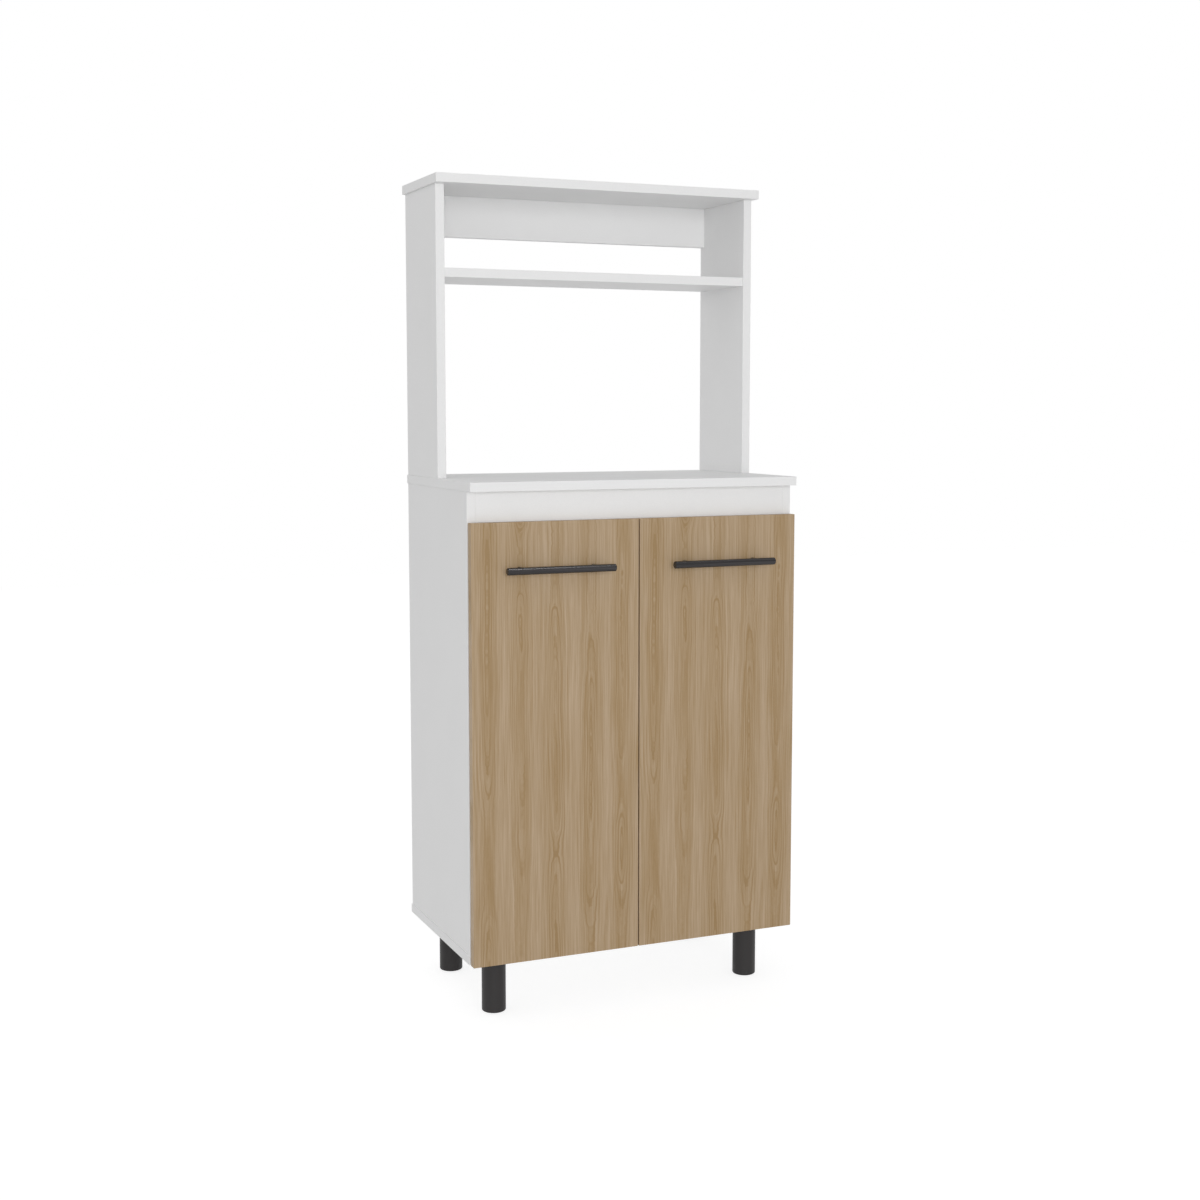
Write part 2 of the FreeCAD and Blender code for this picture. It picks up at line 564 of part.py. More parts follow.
# Handle: a bar on two posts, held by screws from behind the door
handle_x = "-(door_split + door_width) / 2"
bar_start = (f"{handle_x} - bar_length / 2", "bar_axis", "handle_height")
bar = rod("bar_blank", "bar_diameter", "bar_length", bar_start, RIGHT)
ends = edges_where(bar, lambda middle, span: abs(middle.x - span.Center.x) > span.XLength / 4)
bevelled = doc.addObject("Part::Chamfer", "left_handle_bar")
bevelled.Base = bar
bevelled.Edges = [(number, sizes["bar_bevel"], sizes["bar_bevel"]) for number in ends]
nodes["left_handle_bar"] = bevelled
saddle = "bar_diameter + 2 * pin_play"
for way in SIDES.values():
    seat = (f"{handle_x} + {way} * post_spacing / 2", "door_face", "handle_height")
    behind = shift(seat, BACKWARD, "door_thick")
    post = rod("post_blank", "post_diameter", "handle_reach - bar_diameter / 2", seat, FORWARD)
    group("left_handle_posts", cut("handle_post", post, [
        rod("post_saddle", saddle, "bar_length", bar_start, RIGHT),
        rod("post_screw_way", "handle_screw + 2 * fit", "handle_screw_grip + hole_spare", seat, FORWARD)]))
    drill("left_door", "handle_screw + 2 * fit", "door_thick", behind, FORWARD)
    group("left_handle_screws", fuse("handle_screw", [
        rod("handle_screw_top", "handle_screw_head", "handle_head_thick", behind, BACKWARD),
        rod("handle_screw_shaft", "handle_screw", "door_thick + handle_screw_grip", behind, FORWARD)]))
for z in ("leg_height + board / 2", "(worktop_foot - rail_height + door_top) / 2"):
    spot = (f"{door_far} - bumper_inset", "door_back", z)
    group("left_door_bumpers", rod("bumper", "bumper_diameter", "door_gap - bumper_play", spot, BACKWARD))

# Drilled boards, groups of like pieces and the right-hand copies
for name, holes in drillings.items():
    if holes:
        nodes[name] = cut(name, nodes[name], holes)
for name, thing in nodes.items():
    if isinstance(thing, list):
        nodes[name] = compound(name, thing)
for name in [name for name in nodes if name.startswith("left_") and name != "left_side_panel"]:
    right = name.replace("left_", "right_", 1)
    nodes[right] = mirrored(right, nodes[name])
for name, thing in nodes.items():
    thing.Label = name
doc.recompute()

for thing in doc.Objects:
    if "Invalid" in thing.State or "Error" in thing.State:
        raise RuntimeError(f"{thing.Label} did not compute: {thing.State}")
for name, thing in nodes.items():
    if thing.Shape.isNull() or not thing.Shape.isValid() or not thing.Shape.Solids:
        raise RuntimeError(f"{name} has no valid solid")

os.makedirs("parts", exist_ok=True)
for name, thing in nodes.items():
    thing.Shape.exportStep(f"parts/{name}.step")
whole = compound("whole", list(nodes.values()))
doc.recompute()
span = whole.Shape.BoundBox
print(f"{len(nodes)} nodes, {span.XLength:.1f} x {span.YLength:.1f} x {span.ZLength:.1f} mm")
print(f"x {span.XMin:.2f} {span.XMax:.2f}  y {span.YMin:.2f} {span.YMax:.2f}")
print(f"z {span.ZMin:.2f} {span.ZMax:.2f}")
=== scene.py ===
import json
import math

import bmesh
import bpy
from mathutils import Matrix, Vector


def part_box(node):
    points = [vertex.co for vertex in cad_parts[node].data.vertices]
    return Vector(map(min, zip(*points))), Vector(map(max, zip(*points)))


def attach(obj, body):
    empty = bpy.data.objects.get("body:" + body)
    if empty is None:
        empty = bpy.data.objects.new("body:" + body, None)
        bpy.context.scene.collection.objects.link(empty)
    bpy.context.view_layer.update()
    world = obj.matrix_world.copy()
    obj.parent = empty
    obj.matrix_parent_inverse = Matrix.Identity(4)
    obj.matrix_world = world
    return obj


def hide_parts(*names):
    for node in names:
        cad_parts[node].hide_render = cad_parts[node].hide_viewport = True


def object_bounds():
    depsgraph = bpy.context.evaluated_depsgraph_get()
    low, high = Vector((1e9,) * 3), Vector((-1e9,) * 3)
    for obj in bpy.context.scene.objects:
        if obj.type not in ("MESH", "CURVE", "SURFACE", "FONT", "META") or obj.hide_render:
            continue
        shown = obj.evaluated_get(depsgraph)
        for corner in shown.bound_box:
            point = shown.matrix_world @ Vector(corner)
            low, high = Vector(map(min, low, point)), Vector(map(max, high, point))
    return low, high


mm = 0.001    # a millimetre in Blender's metres

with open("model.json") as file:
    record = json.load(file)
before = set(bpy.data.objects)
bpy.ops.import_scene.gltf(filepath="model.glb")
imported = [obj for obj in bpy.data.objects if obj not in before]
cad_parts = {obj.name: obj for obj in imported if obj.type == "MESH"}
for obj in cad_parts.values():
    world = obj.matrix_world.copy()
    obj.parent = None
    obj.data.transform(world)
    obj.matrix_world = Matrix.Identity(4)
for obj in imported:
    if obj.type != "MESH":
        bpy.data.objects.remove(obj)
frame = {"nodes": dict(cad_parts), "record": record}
nodes = frame["nodes"]
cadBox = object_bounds()
print("frame loaded:", len(nodes), "pieces")


def linear(hexText):  # sRGB hex to the linear colour that sockets take
    channels = [int(hexText[i:i + 2], 16) / 255 for i in (1, 3, 5)]
    return [c / 12.92 if c <= 0.04045 else ((c + 0.055) / 1.055) ** 2.4 for c in channels] + [1.0]


def addNode(tree, kind, inputs=None, **settings):
    node = tree.nodes.new(kind)
    for name, value in settings.items():
        setattr(node, name, value)
    for name, value in (inputs or {}).items():    # another node's output is linked, a plain value is set
        if isinstance(value, bpy.types.NodeSocket):
            tree.links.new(value, node.inputs[name])
        else:
            node.inputs[name].default_value = value
    return node


def setRamp(node, stops):  # stops are (position, hex colour)
    band = node.color_ramp
    while len(band.elements) < len(stops):
        band.elements.new(1.0)
    for element, (place, colour) in zip(band.elements, stops):
        element.position = place
        element.color = linear(colour)


def newMaterial(name, surface):
    material = bpy.data.materials.new(name)
    material.use_nodes = True
    tree = material.node_tree
    shader = tree.nodes["Principled BSDF"]
    for socket, value in surface.items():
        shader.inputs[socket].default_value = value
    coords = addNode(tree, "ShaderNodeTexCoord").outputs["Object"]
    return material, tree, shader, coords


noiseSpan = (0.3, 0.7)    # most of a noise lies between these values


# tone picks the colour, grain roughens and pits the surface
def dressShader(tree, shader, tone, grain, settings):
    ramp = addNode(tree, "ShaderNodeValToRGB", {"Fac": tone})
    setRamp(ramp, settings["stops"])
    rough = addNode(tree, "ShaderNodeMapRange", {
        "Value": grain, "From Min": noiseSpan[0], "From Max": noiseSpan[1],
        "To Min": settings["roughness"][0], "To Max": settings["roughness"][1]})
    bump = addNode(tree, "ShaderNodeBump", {"Height": grain, "Strength": settings["bump"],
                                            "Distance": settings["pitMm"] * mm})
    tree.links.new(ramp.outputs["Color"], shader.inputs["Base Color"])
    tree.links.new(rough.outputs["Result"], shader.inputs["Roughness"])
    tree.links.new(bump.outputs["Normal"], shader.inputs["Normal"])


# White melamine on chipboard, pressed against a finely pitted plate: satin with a faint pearl grain
whiteBoard = dict(
    stops=((0.30, "#EEEEEE"), (0.70, "#F2F2F2")),
    grain=dict(sizeMm=1.6, detail=3.0),     # real pits are about 0.3 mm, drawn coarser so that they show
    cloud=dict(sizeMm=90.0, detail=1.0),    # slow drift of tone over a sheet
    cloudShare=0.3,
    roughness=(0.45, 0.51),
    bump=0.12,
    pitMm=0.2,
    surface={"IOR": 1.50, "Specular IOR Level": 0.30},
)


def makeWhiteMelamine(name, settings):
    material, tree, shader, coords = newMaterial(name, settings["surface"])
    noises = {}
    for pattern in ("grain", "cloud"):
        noise = addNode(tree, "ShaderNodeTexNoise", {
            "Vector": coords, "Scale": 1 / (settings[pattern]["sizeMm"] * mm),
            "Detail": settings[pattern]["detail"]})
        noises[pattern] = noise.outputs["Fac"]
    blend = addNode(tree, "ShaderNodeMix", {"Factor": settings["cloudShare"], "A": noises["grain"],
                                            "B": noises["cloud"]})
    dressShader(tree, shader, blend.outputs["Result"], noises["grain"], settings)
    return material


# Elm-look melamine, a printed paper under a pressed film: tall nested arches, satin, with shallow pores
elmPrint = dict(
    stops=((0.20, "#9C8059"), (0.40, "#A58A65"), (0.52, "#AB9271"), (0.66, "#B29A7C"), (0.86, "#BBA488")),
    # runs of arches: the middle from the door's left edge, then (below the top, depth of the cut), in mm
    runs=(
        (26.0, ((0, 6), (100, 3), (240, 3), (320, 5), (400, 8), (500, 14), (590, 14), (650, 9), (716, 4))),
        (83.0, ((0, 3), (50, 11), (90, 10), (170, 3), (250, 6), (300, 5), (475, 8), (560, 11), (625, 14),
                (716, 15))),
        (142.0, ((0, 14), (110, 13), (150, 10), (230, 6), (300, 4), (420, 3), (500, 6), (535, 11),
                 (560, 9), (620, 6), (716, 3))),
        (205.0, ((0, 13), (170, 13), (200, 11), (247, 9), (275, 6), (350, 3), (450, 3), (510, 5),
                 (590, 8), (670, 14), (716, 15))),
        (260.0, ((0, 8), (120, 4), (330, 4), (415, 10), (440, 11), (500, 6), (540, 3), (600, 7),
                 (665, 13), (716, 14))),
    ),
    deepestMm=16.0,    # full scale of the cuts above
    joinMm=6.0,        # how softly two runs meet
    patterns=dict(
        # flat on the door, with sizes across and along it: the grain's wander, small waves in the arches
        sway=dict(on="door", overMm=(60.0, 0, 150.0), shift=(0, 0, 0), detail=2.0, harsh=0.5),
        ripple=dict(on="door", overMm=(30.0, 0, 12.0), shift=(0, 0, 0), detail=1.0, harsh=0.5),
        # real fibres are 0.3 mm wide and pores 0.2 mm, drawn coarser so that they show
        fibre=dict(on="door", overMm=(1.3, 0, 110.0), shift=(2.3, 0, 5.5), detail=3.0, harsh=0.65),
        pore=dict(on="door", overMm=(0.9, 0, 9.0), shift=(0, 0, 0), detail=1.0, harsh=0.5),
        # following the arches, with sizes from arch to arch, across the door and along it
        ring=dict(on="arches", overMm=(3.3, 22.0, 260.0), shift=(0, 0, 0), detail=3.0, harsh=0.65),
        band=dict(on="arches", overMm=(15.0, 38.0, 230.0), shift=(7.7, 3.1, 1.9), detail=1.0, harsh=0.5),
    ),
    moveMm=dict(sway=5.0, ripple=1.2),               # how far these push the arches about
    shares=dict(ring=0.92, band=0.20, fibre=1.12),   # and how much of these is in the tone
    line=dict(    # dark lines inside the arches
        apartMm=3.8,
        fold=0.5,              # each spacing rises for one half and falls for the other
        edge=(0.25, 0.50),     # soft edge, in spacings
        endMm=(10.0, 24.0),    # how far from a run's middle they end
        fade=(0.35, 0.60),     # values of band over which they come in
        share=-0.46,
    ),
    core=dict(endMm=(6.0, 27.0), tones=(-0.625, -0.480)),    # each run is darker along its middle
    roughness=(0.46, 0.54),
    bump=0.10,
    pitMm=0.3,
    surface={"IOR": 1.50, "Specular IOR Level": 0.35},
)


def setCurve(node, points):
    line = node.mapping.curves[0]
    while len(line.points) < len(points):
        line.points.new(0.5, 0.5)
    for point, spot in zip(line.points, sorted(points)):
        point.location = spot
        point.handle_type = "AUTO_CLAMPED"
    node.mapping.update()


def perMm(sizes):  # pattern scales for sizes in millimetres, none across a size of 0
    return [1 / (size * mm) if size else 0.0 for size in sizes]


# distance from the nearest run's middle, rounded off by the cut's depth: its level lines are the arches
def addArches(tree, across, along, height, ripple, settings):
    deepest = settings["deepestMm"] * mm
    up = addNode(tree, "ShaderNodeMath", {0: along, 1: 1 / height}, operation="MULTIPLY").outputs[0]
    reach = None
    for middle, cuts in settings["runs"]:
        curve = addNode(tree, "ShaderNodeFloatCurve", {"Value": up})
        setCurve(curve, [(1 - below * mm / height, deep * mm / deepest) for below, deep in cuts])
        cut = addNode(tree, "ShaderNodeMath", {0: curve.outputs[0], 1: deepest, 2: ripple},
                      operation="MULTIPLY_ADD")
        aside = addNode(tree, "ShaderNodeMath", {0: across, 1: middle * mm}, operation="SUBTRACT")
        pair = addNode(tree, "ShaderNodeCombineXYZ", {"X": aside.outputs[0], "Y": cut.outputs[0]})
        ring = addNode(tree, "ShaderNodeVectorMath", {0: pair.outputs[0]}, operation="LENGTH")
        if reach is None:
            reach = ring.outputs["Value"]
        else:
            reach = addNode(tree, "ShaderNodeMath", {
                0: reach, 1: ring.outputs["Value"], 2: settings["joinMm"] * mm},
                operation="SMOOTH_MIN").outputs[0]
    return reach


# tone of the dark lines inside the arches and of each run's darker middle
def addArchLines(tree, reach, noises, line, core):
    phase = addNode(tree, "ShaderNodeMath", {0: reach, 1: 1 / (line["apartMm"] * mm), 2: noises["ring"]},
                    operation="MULTIPLY_ADD")
    phase = addNode(tree, "ShaderNodeMath", {0: phase.outputs[0], 1: line["fold"]}, operation="PINGPONG")
    dark = addNode(tree, "ShaderNodeMapRange", {
        "Value": phase.outputs[0], "From Min": line["edge"][0], "From Max": line["edge"][1],
        "To Max": line["share"]}, interpolation_type="SMOOTHSTEP")
    inside = addNode(tree, "ShaderNodeMapRange", {
        "Value": reach, "From Min": line["endMm"][0] * mm, "From Max": line["endMm"][1] * mm,
        "To Min": 1.0, "To Max": 0.0}, interpolation_type="SMOOTHSTEP")
    fade = addNode(tree, "ShaderNodeMapRange", {
        "Value": noises["band"], "From Min": line["fade"][0], "From Max": line["fade"][1]})
    shown = addNode(tree, "ShaderNodeMath", {0: inside.outputs[0], 1: fade.outputs[0]},
                    operation="MULTIPLY")
    base = addNode(tree, "ShaderNodeMapRange", {
        "Value": reach, "From Min": core["endMm"][0] * mm, "From Max": core["endMm"][1] * mm,
        "To Min": core["tones"][0], "To Max": core["tones"][1]}, interpolation_type="SMOOTHSTEP")
    tone = addNode(tree, "ShaderNodeMath", {0: dark.outputs[0], 1: shown.outputs[0], 2: base.outputs[0]},
                   operation="MULTIPLY_ADD")
    return tone.outputs[0]


def makeElmPrint(name, door, settings):
    material, tree, shader, coords = newMaterial(name, settings["surface"])
    low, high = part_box(door)
    corner = (-low[0], 0.0, -low[2])    # the pattern starts at the door's own corner
    place = addNode(tree, "ShaderNodeMapping", {"Vector": coords, "Location": corner}).outputs[0]
    axes = addNode(tree, "ShaderNodeSeparateXYZ", {"Vector": place}).outputs
    noises = {}
    waiting = dict(door=[], arches=[])    # sockets for the place on the door or among the arches
    for pattern, given in settings["patterns"].items():
        sized = addNode(tree, "ShaderNodeMapping", {
            "Location": given["shift"], "Scale": perMm(given["overMm"])})
        waiting[given["on"]].append(sized.inputs["Vector"])
        noise = addNode(tree, "ShaderNodeTexNoise", {
            "Vector": sized.outputs[0], "Scale": 1.0,
            "Detail": given["detail"], "Roughness": given["harsh"]})
        noises[pattern] = noise.outputs["Fac"]
    for pattern, most in settings["moveMm"].items():
        moved = addNode(tree, "ShaderNodeMapRange", {"Value": noises[pattern], "To Min": -most * mm,
                                                     "To Max": most * mm})
        noises[pattern] = moved.outputs[0]

    across = addNode(tree, "ShaderNodeMath", {0: axes["X"], 1: noises["sway"]}, operation="ADD").outputs[0]
    reach = addArches(tree, across, axes["Z"], high[2] - low[2], noises["ripple"], settings)
    spot = addNode(tree, "ShaderNodeCombineXYZ", {"X": reach, "Y": axes["X"], "Z": axes["Z"]}).outputs[0]
    for ground, sockets in ((place, waiting["door"]), (spot, waiting["arches"])):
        for socket in sockets:
            tree.links.new(ground, socket)

    tone = addArchLines(tree, reach, noises, settings["line"], settings["core"])
    for pattern, share in settings["shares"].items():
        tone = addNode(tree, "ShaderNodeMath", {0: noises[pattern], 1: share, 2: tone},
                       operation="MULTIPLY_ADD").outputs[0]
    dressShader(tree, shader, tone, noises["pore"], settings)
    return material


# Anthracite steel rod, drawn through a die and thinly coated: fine light and dark lines run along it
drawnSteel = dict(
    stops=((0.36, "#2D2B2C"), (0.50, "#353334"), (0.64, "#3F3D3E")),
    lineMm=2.4,       # real lines are about 0.2 mm, drawn coarser so that they show
    runMm=260.0,
    detail=2.0,
    roughness=(0.24, 0.30),
    bump=0.04,
    pitMm=0.3,
    surface={"Metallic": 0.60},
)


def makeDrawnSteel(name, axis, settings):  # axis is the one that the rod was drawn along
    material, tree, shader, coords = newMaterial(name, settings["surface"])
    sizes = [settings["runMm"] if axis == each else settings["lineMm"] for each in "XYZ"]
    along = addNode(tree, "ShaderNodeMapping", {"Vector": coords, "Scale": perMm(sizes)})
    lines = addNode(tree, "ShaderNodeTexNoise", {"Vector": along.outputs[0], "Scale": 1.0,
                                                 "Detail": settings["detail"]}).outputs["Fac"]
    dressShader(tree, shader, lines, lines, settings)
    return material


# Plain finishes: two close tones mixed by a fine grain, which also roughens and pits the surface
plainGrain = dict(detail=2.0, pitMm=0.2)    # the same for all of them
plainFinishes = dict(    # real grains are finer than grainMm, drawn coarser so that they show
    # moulded legs: matt, nearly black
    blackPolypropylene=dict(tones=("#333131", "#363434"), grainMm=1.2, bump=0.06, roughness=(0.43, 0.49),
                            surface={"IOR": 1.49, "Specular IOR Level": 0.25}),
    # hinges of pressed steel, nickel plated: bright and slightly warm
    nickelPlate=dict(tones=("#BAB7B0", "#C2BFB8"), grainMm=1.2, bump=0.03, roughness=(0.22, 0.30),
                     surface={"Metallic": 1.0}),
    # screws, pins, studs and nails, zinc plated: bright, cool and a little mottled
    zincPlate=dict(tones=("#A9ACB0", "#BEC1C4"), grainMm=1.5, bump=0.05, roughness=(0.27, 0.37),
                   surface={"Metallic": 1.0}),
    # die-cast cams: dull, with a coarse skin
    zincCasting=dict(tones=("#9B9DA0", "#AFB1B3"), grainMm=0.8, bump=0.15, roughness=(0.40, 0.50),
                     surface={"Metallic": 1.0}),
    # lacquered fibre sheet at the back: flat off-white
    whiteHardboard=dict(tones=("#DCDCDA", "#E6E6E4"), grainMm=3.0, bump=0.10, roughness=(0.55, 0.65),
                        surface={"IOR": 1.50}),
    # turned dowels: bare, dry wood
    turnedBeech=dict(tones=("#B98F62", "#D3AC7E"), grainMm=2.0, bump=0.15, roughness=(0.55, 0.65),
                     surface={"IOR": 1.50}),
    # pressed wool under the legs: no shine
    greyFelt=dict(tones=("#2E2E2F", "#474748"), grainMm=0.7, bump=0.60, roughness=(0.92, 0.98),
                  surface={"IOR": 1.45}),
    # moulded screw caps: satin
    whitePlastic=dict(tones=("#E4E4E3", "#EAEAE9"), grainMm=1.0, bump=0.06, roughness=(0.37, 0.43),
                      surface={"IOR": 1.49}),
    # soft stick-on bumpers: pale with some shine
    clearRubber=dict(tones=("#D2D2CE", "#DEDEDA"), grainMm=1.0, bump=0.05, roughness=(0.27, 0.33),
                     surface={"IOR": 1.45}),
)


def makePlainFinish(name, settings):
    settings = dict(settings, stops=list(zip(noiseSpan, settings["tones"])), **plainGrain)
    material, tree, shader, coords = newMaterial(name, settings["surface"])
    grain = addNode(tree, "ShaderNodeTexNoise", {"Vector": coords, "Scale": 1 / (settings["grainMm"] * mm),
                                                 "Detail": settings["detail"]}).outputs["Fac"]
    dressShader(tree, shader, grain, grain, settings)
    return material


finishes = {name: makePlainFinish(name, settings) for name, settings in plainFinishes.items()}
finishes["drawnBar"] = makeDrawnSteel("anthraciteSteelBar", "X", drawnSteel)
finishes["drawnPost"] = makeDrawnSteel("anthraciteSteelPost", "Y", drawnSteel)
finishes["whiteMelamine"] = makeWhiteMelamine("whiteMelamine", whiteBoard)
slotFinishes = dict(white_melamine="whiteMelamine", black_plastic="blackPolypropylene",
                    anthracite_metal="drawnBar", nickel_steel="nickelPlate", zinc_steel="zincPlate",
                    zinc_alloy="zincCasting", hardboard="whiteHardboard", beech="turnedBeech",
                    felt="greyFelt", white_plastic="whitePlastic", clear_rubber="clearRubber")
for part in frame["record"]["subparts"]:
    piece = nodes[part["node"]]
    if part["material_slot"] == "oak_melamine":
        finish = makeElmPrint(f"elmMelamine_{part['node']}", part["node"], elmPrint)
    elif part["node"].endswith("handle_posts"):
        finish = finishes["drawnPost"]
    else:
        finish = finishes[slotFinishes[part["material_slot"]]]
    piece.data.materials.clear()
    piece.data.materials.append(finish)
print("finishes on", len(nodes), "pieces")


# Screws: pressed pan heads with a cross recess, in place of the frame's plain heads
crossScrews = dict(
    rows=dict(    # facing is the way that the left side's heads look
        arm_screws=dict(facing=(1, 0, 0), headMm=1.6, shaftMm=4.5, carrier="cabinet"),
        plate_screws=dict(facing=(1, 0, 0), headMm=1.6, shaftMm=3.5, carrier="cabinet"),
        cup_screws=dict(facing=(0, 1, 0), headMm=1.6, shaftMm=3.5, carrier="door"),
        handle_screws=dict(facing=(0, 1, 0), headMm=2.2, shaftMm=4.0, carrier="door"),
    ),
    weldMm=0.001,       # the frame's loose triangles join where corners are this close
    segments=28,
    crown=((1.0, 0.45), (0.93, 0.74), (0.78, 0.92), (0.60, 1.0)),    # profile, in head radii and heights
    crossLong=0.50,     # arm of the recess from the middle, in head radii
    crossWide=0.13,     # half of its width
    crossDeep=0.62,     # in head heights
    crossTaper=0.62,    # size of its floor against its mouth
    slot="zinc_steel",
)


def looseShells(node, weld):  # low and high corners of each separate solid in a frame piece
    shell = bmesh.new()
    shell.from_mesh(nodes[node].data)
    bmesh.ops.remove_doubles(shell, verts=shell.verts, dist=weld)
    waiting = set(shell.verts)
    found = []
    while waiting:
        front = [waiting.pop()]
        points = []
        while front:
            vert = front.pop()
            points.append(vert.co.copy())
            fresh = {edge.other_vert(vert) for edge in vert.link_edges} & waiting
            waiting -= fresh
            front.extend(fresh)
        low, high = [Vector([pick(along) for along in zip(*points)]) for pick in (min, max)]
        found.append((low, high))
    shell.free()
    return sorted(found, key=lambda box: list(box[0]))


def growRing(screws, edges):  # pulls a copy of a loop out of the mesh, still in its place
    grown = bmesh.ops.extrude_edge_only(screws, edges=edges)["geom"]
    ring = [part for part in grown if isinstance(part, bmesh.types.BMVert)]
    sides = [part for part in grown if isinstance(part, bmesh.types.BMEdge)]
    return ring, [edge for edge in sides if edge.verts[0] in ring and edge.verts[1] in ring]


# the head stands on z = 0 and the shaft hangs below it
def addCrossScrew(screws, radius, height, shaft, length, settings):
    segments = settings["segments"]
    made = bmesh.ops.create_circle(screws, segments=segments, radius=radius, cap_ends=True)["verts"]
    edges = list(dict.fromkeys(edge for vert in made for edge in vert.link_edges))
    for wide, high in settings["crown"]:
        ring, edges = growRing(screws, edges)
        for vert in ring:
            vert.co = Vector((vert.co.x, vert.co.y, 0)).normalized() * radius * wide
            vert.co.z = height * high
        made += ring
    long, wide = radius * settings["crossLong"], radius * settings["crossWide"]
    arm = [(long, -wide), (long, wide), (wide, wide)]
    cross = []
    for quarter in range(4):
        cross += [screws.verts.new((x, y, height)) for x, y in arm]
        arm = [(-y, x) for x, y in arm]
    crossEdges = [screws.edges.new((cross[i - 1], cross[i])) for i in range(len(cross))]
    bmesh.ops.bridge_loops(screws, edges=edges + crossEdges)
    floor, edges = growRing(screws, crossEdges)
    for vert in floor:
        vert.co *= settings["crossTaper"]
        vert.co.z = height * (1 - settings["crossDeep"])
    bmesh.ops.edgeloop_fill(screws, edges=edges)
    stem = bmesh.ops.create_cone(screws, cap_ends=True, segments=segments, radius1=shaft / 2,
                                 radius2=shaft / 2, depth=length,
                                 matrix=Matrix.Translation((0, 0, -length / 2)))
    return made + cross + floor + stem["verts"]


def makeCrossScrews(settings):
    for side, way in (("left", 1), ("right", -1)):
        for row, screw in settings["rows"].items():
            node = f"{side}_{row}"
            x, y, z = screw["facing"]
            facing = Vector((x * way, y, z))
            turn = facing.to_track_quat("Z", "Y").to_matrix().to_4x4()
            height, shaft = screw["headMm"] * mm, screw["shaftMm"] * mm
            carrier = screw["carrier"]
            screws = bmesh.new()
            for low, high in looseShells(node, settings["weldMm"] * mm):
                size = high - low
                span = abs(size.dot(facing))
                radius = sorted(size)[1] / 2    # two of the three sizes are the round head's width
                made = addCrossScrew(screws, radius, height, shaft, span - height, settings)
                place = Matrix.Translation((low + high) / 2 + facing * (span / 2 - height))
                bmesh.ops.transform(screws, matrix=place @ turn, verts=made)
            bmesh.ops.recalc_face_normals(screws, faces=screws.faces)
            mesh = bpy.data.meshes.new(f"{node}_cross")
            screws.to_mesh(mesh)
            screws.free()
            mesh.materials.append(finishes["zincPlate"])
            piece = bpy.data.objects.new(f"{node}_cross", mesh)
            bpy.context.collection.objects.link(piece)
            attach(piece, "cabinet" if carrier == "cabinet" else f"{side}_door")
            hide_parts(node)


makeCrossScrews(crossScrews)
print("cross-head screws made")


# Studio: pale floor, white surroundings, soft light from every side and a broad lamp in front
studio = dict(
    floorSide=14.0,
    floorBounce="#C8C8C8",    # what the floor throws back on the cabinet
    floorLift=0.12,           # and its own light, which also reaches under the cabinet
    floorSeen="#A0A0A0",      # the part of its look that takes the shadow
    floorGlow=0.80,           # the rest of its look
    surround="#FFFFFF",
    mirrored=0.75,            # how bright the surroundings look in a gloss
    ambient=0.458,            # light from every side
    # more of it from the left, from behind and from above
    extra=(((-1, 0, 0), 0.24), ((0, 1, 0), 0.20), ((0, 0, 1), 0.10)),
    lamps=dict(    # the strips only show as lines of light on metal
        frontKey=dict(place=(-0.90, -4.4, 1.25), width=2.2, height=1.8, power=67.0, glossOnly=False),
        frontStrip=dict(place=(-0.3, -2.4, 2.0), width=2.6, height=0.14, power=4.0, glossOnly=True),
        topStrip=dict(place=(-0.2, -0.20, 2.6), width=2.6, height=0.30, power=34.0, glossOnly=True),
    ),
)


# 1 for what is looked at, also in a gloss, and 0 for light on its way to the cabinet
def addSeen(tree, path):
    seen = path["Is Camera Ray"]
    for ray in ("Is Glossy Ray", "Is Transmission Ray"):
        seen = addNode(tree, "ShaderNodeMath", {0: seen, 1: path[ray]}, operation="MAXIMUM").outputs[0]
    return seen


def makeFloor(settings):
    material = bpy.data.materials.new("studioFloor")
    material.use_nodes = True
    tree = material.node_tree
    tree.nodes.remove(tree.nodes["Principled BSDF"])
    sides = []    # what the floor throws back, then how it looks
    for colour, glow in (("floorBounce", "floorLift"), ("floorSeen", "floorGlow")):
        matt = addNode(tree, "ShaderNodeBsdfDiffuse", {"Color": linear(settings[colour])})
        own = addNode(tree, "ShaderNodeEmission", {"Strength": settings[glow]})
        both = addNode(tree, "ShaderNodeAddShader", {0: matt.outputs[0], 1: own.outputs[0]})
        sides.append(both.outputs[0])
    seen = addSeen(tree, addNode(tree, "ShaderNodeLightPath").outputs)
    mix = addNode(tree, "ShaderNodeMixShader", {0: seen, 1: sides[0], 2: sides[1]})
    tree.links.new(mix.outputs[0], tree.nodes["Material Output"].inputs["Surface"])

    sheet = bmesh.new()
    bmesh.ops.create_grid(sheet, x_segments=1, y_segments=1, size=settings["floorSide"] / 2)
    mesh = bpy.data.meshes.new("studioFloor")
    sheet.to_mesh(mesh)
    sheet.free()
    mesh.materials.append(material)
    floor = bpy.data.objects.new("studioFloor", mesh)
    bpy.context.collection.objects.link(floor)


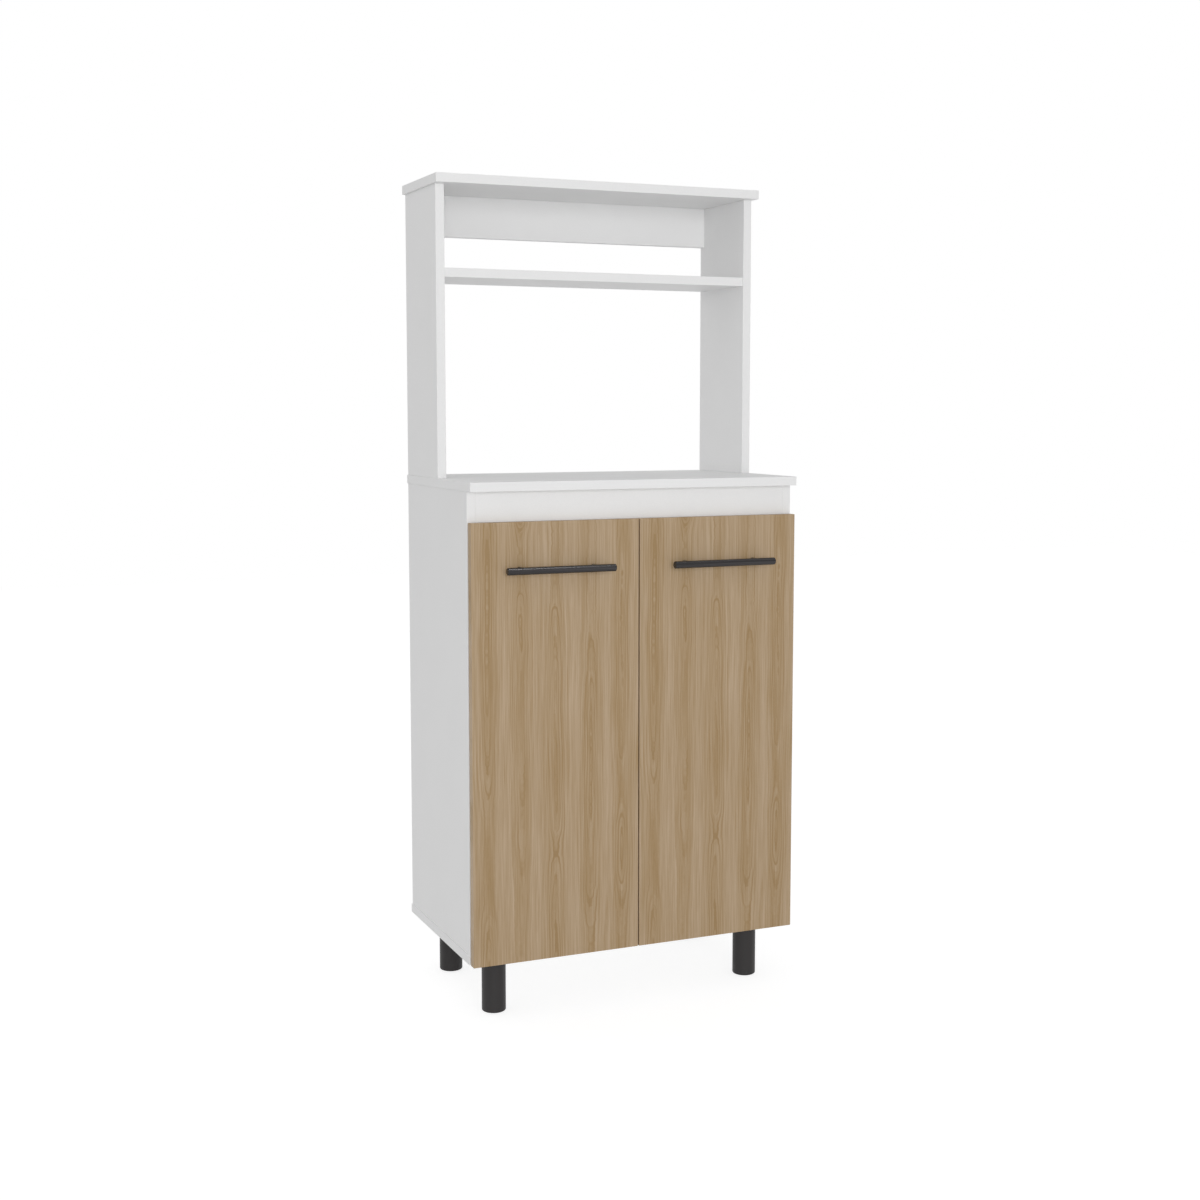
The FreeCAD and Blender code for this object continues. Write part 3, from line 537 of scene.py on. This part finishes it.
def makeSurroundings(settings):
    world = bpy.data.worlds.new("studioWorld")
    bpy.context.scene.world = world
    world.use_nodes = True
    tree = world.node_tree
    path = addNode(tree, "ShaderNodeLightPath").outputs
    toward = addNode(tree, "ShaderNodeTexCoord").outputs["Generated"]    # in a world, a direction
    strength = settings["ambient"]
    for way, most in settings["extra"]:    # falls off from straight that way to nothing at the sides
        facing = addNode(tree, "ShaderNodeVectorMath", {0: toward, 1: way}, operation="DOT_PRODUCT")
        ahead = addNode(tree, "ShaderNodeMath", {0: facing.outputs["Value"], 1: 0.0}, operation="MAXIMUM")
        strength = addNode(tree, "ShaderNodeMath", {0: ahead.outputs[0], 1: most, 2: strength},
                           operation="MULTIPLY_ADD").outputs[0]
    look = addNode(tree, "ShaderNodeMath", {
        0: path["Is Glossy Ray"], 1: settings["mirrored"] - 1.0, 2: 1.0},
        operation="MULTIPLY_ADD").outputs[0]
    white = linear(settings["surround"])
    light = addNode(tree, "ShaderNodeBackground", {"Color": white, "Strength": strength})
    backdrop = addNode(tree, "ShaderNodeBackground", {"Color": white, "Strength": look})
    mix = addNode(tree, "ShaderNodeMixShader", {
        0: addSeen(tree, path), 1: light.outputs[0], 2: backdrop.outputs[0]})
    tree.links.new(mix.outputs[0], tree.nodes["World Output"].inputs["Surface"])


def placeLamps(settings):
    middle = (cadBox[0] + cadBox[1]) / 2
    for name, panel in settings["lamps"].items():
        lamp = bpy.data.lights.new(name, "AREA")
        lamp.shape = "RECTANGLE"
        lamp.size = panel["width"]
        lamp.size_y = panel["height"]
        lamp.energy = panel["power"]
        softbox = bpy.data.objects.new(name, lamp)
        softbox.location = panel["place"]
        softbox.rotation_euler = (middle - softbox.location).to_track_quat("-Z", "Y").to_euler()
        softbox.visible_camera = False
        softbox.visible_diffuse = not panel["glossOnly"]
        bpy.context.collection.objects.link(softbox)


makeFloor(studio)
makeSurroundings(studio)
placeLamps(studio)
print("studio ready")


# Camera: at the photograph's height and side, looking slightly down
shot = dict(
    place=(-1.1435, -2.6440, 0.9954),
    turn=23.308,     # degrees to the right
    dip=5.333,       # degrees below level
    lens=50.430,
    sensor=36.0,
    shiftY=-0.03,
)
camera = bpy.data.cameras.new("shot")
camera.sensor_width = shot["sensor"]
camera.lens = shot["lens"]
camera.shift_y = shot["shiftY"]
eye = bpy.data.objects.new("shot", camera)
eye.location = shot["place"]
eye.rotation_euler = (math.radians(90 - shot["dip"]), 0.0, -math.radians(shot["turn"]))
bpy.context.collection.objects.link(eye)
bpy.context.scene.camera = eye
bpy.context.scene.view_settings.view_transform = "Standard"
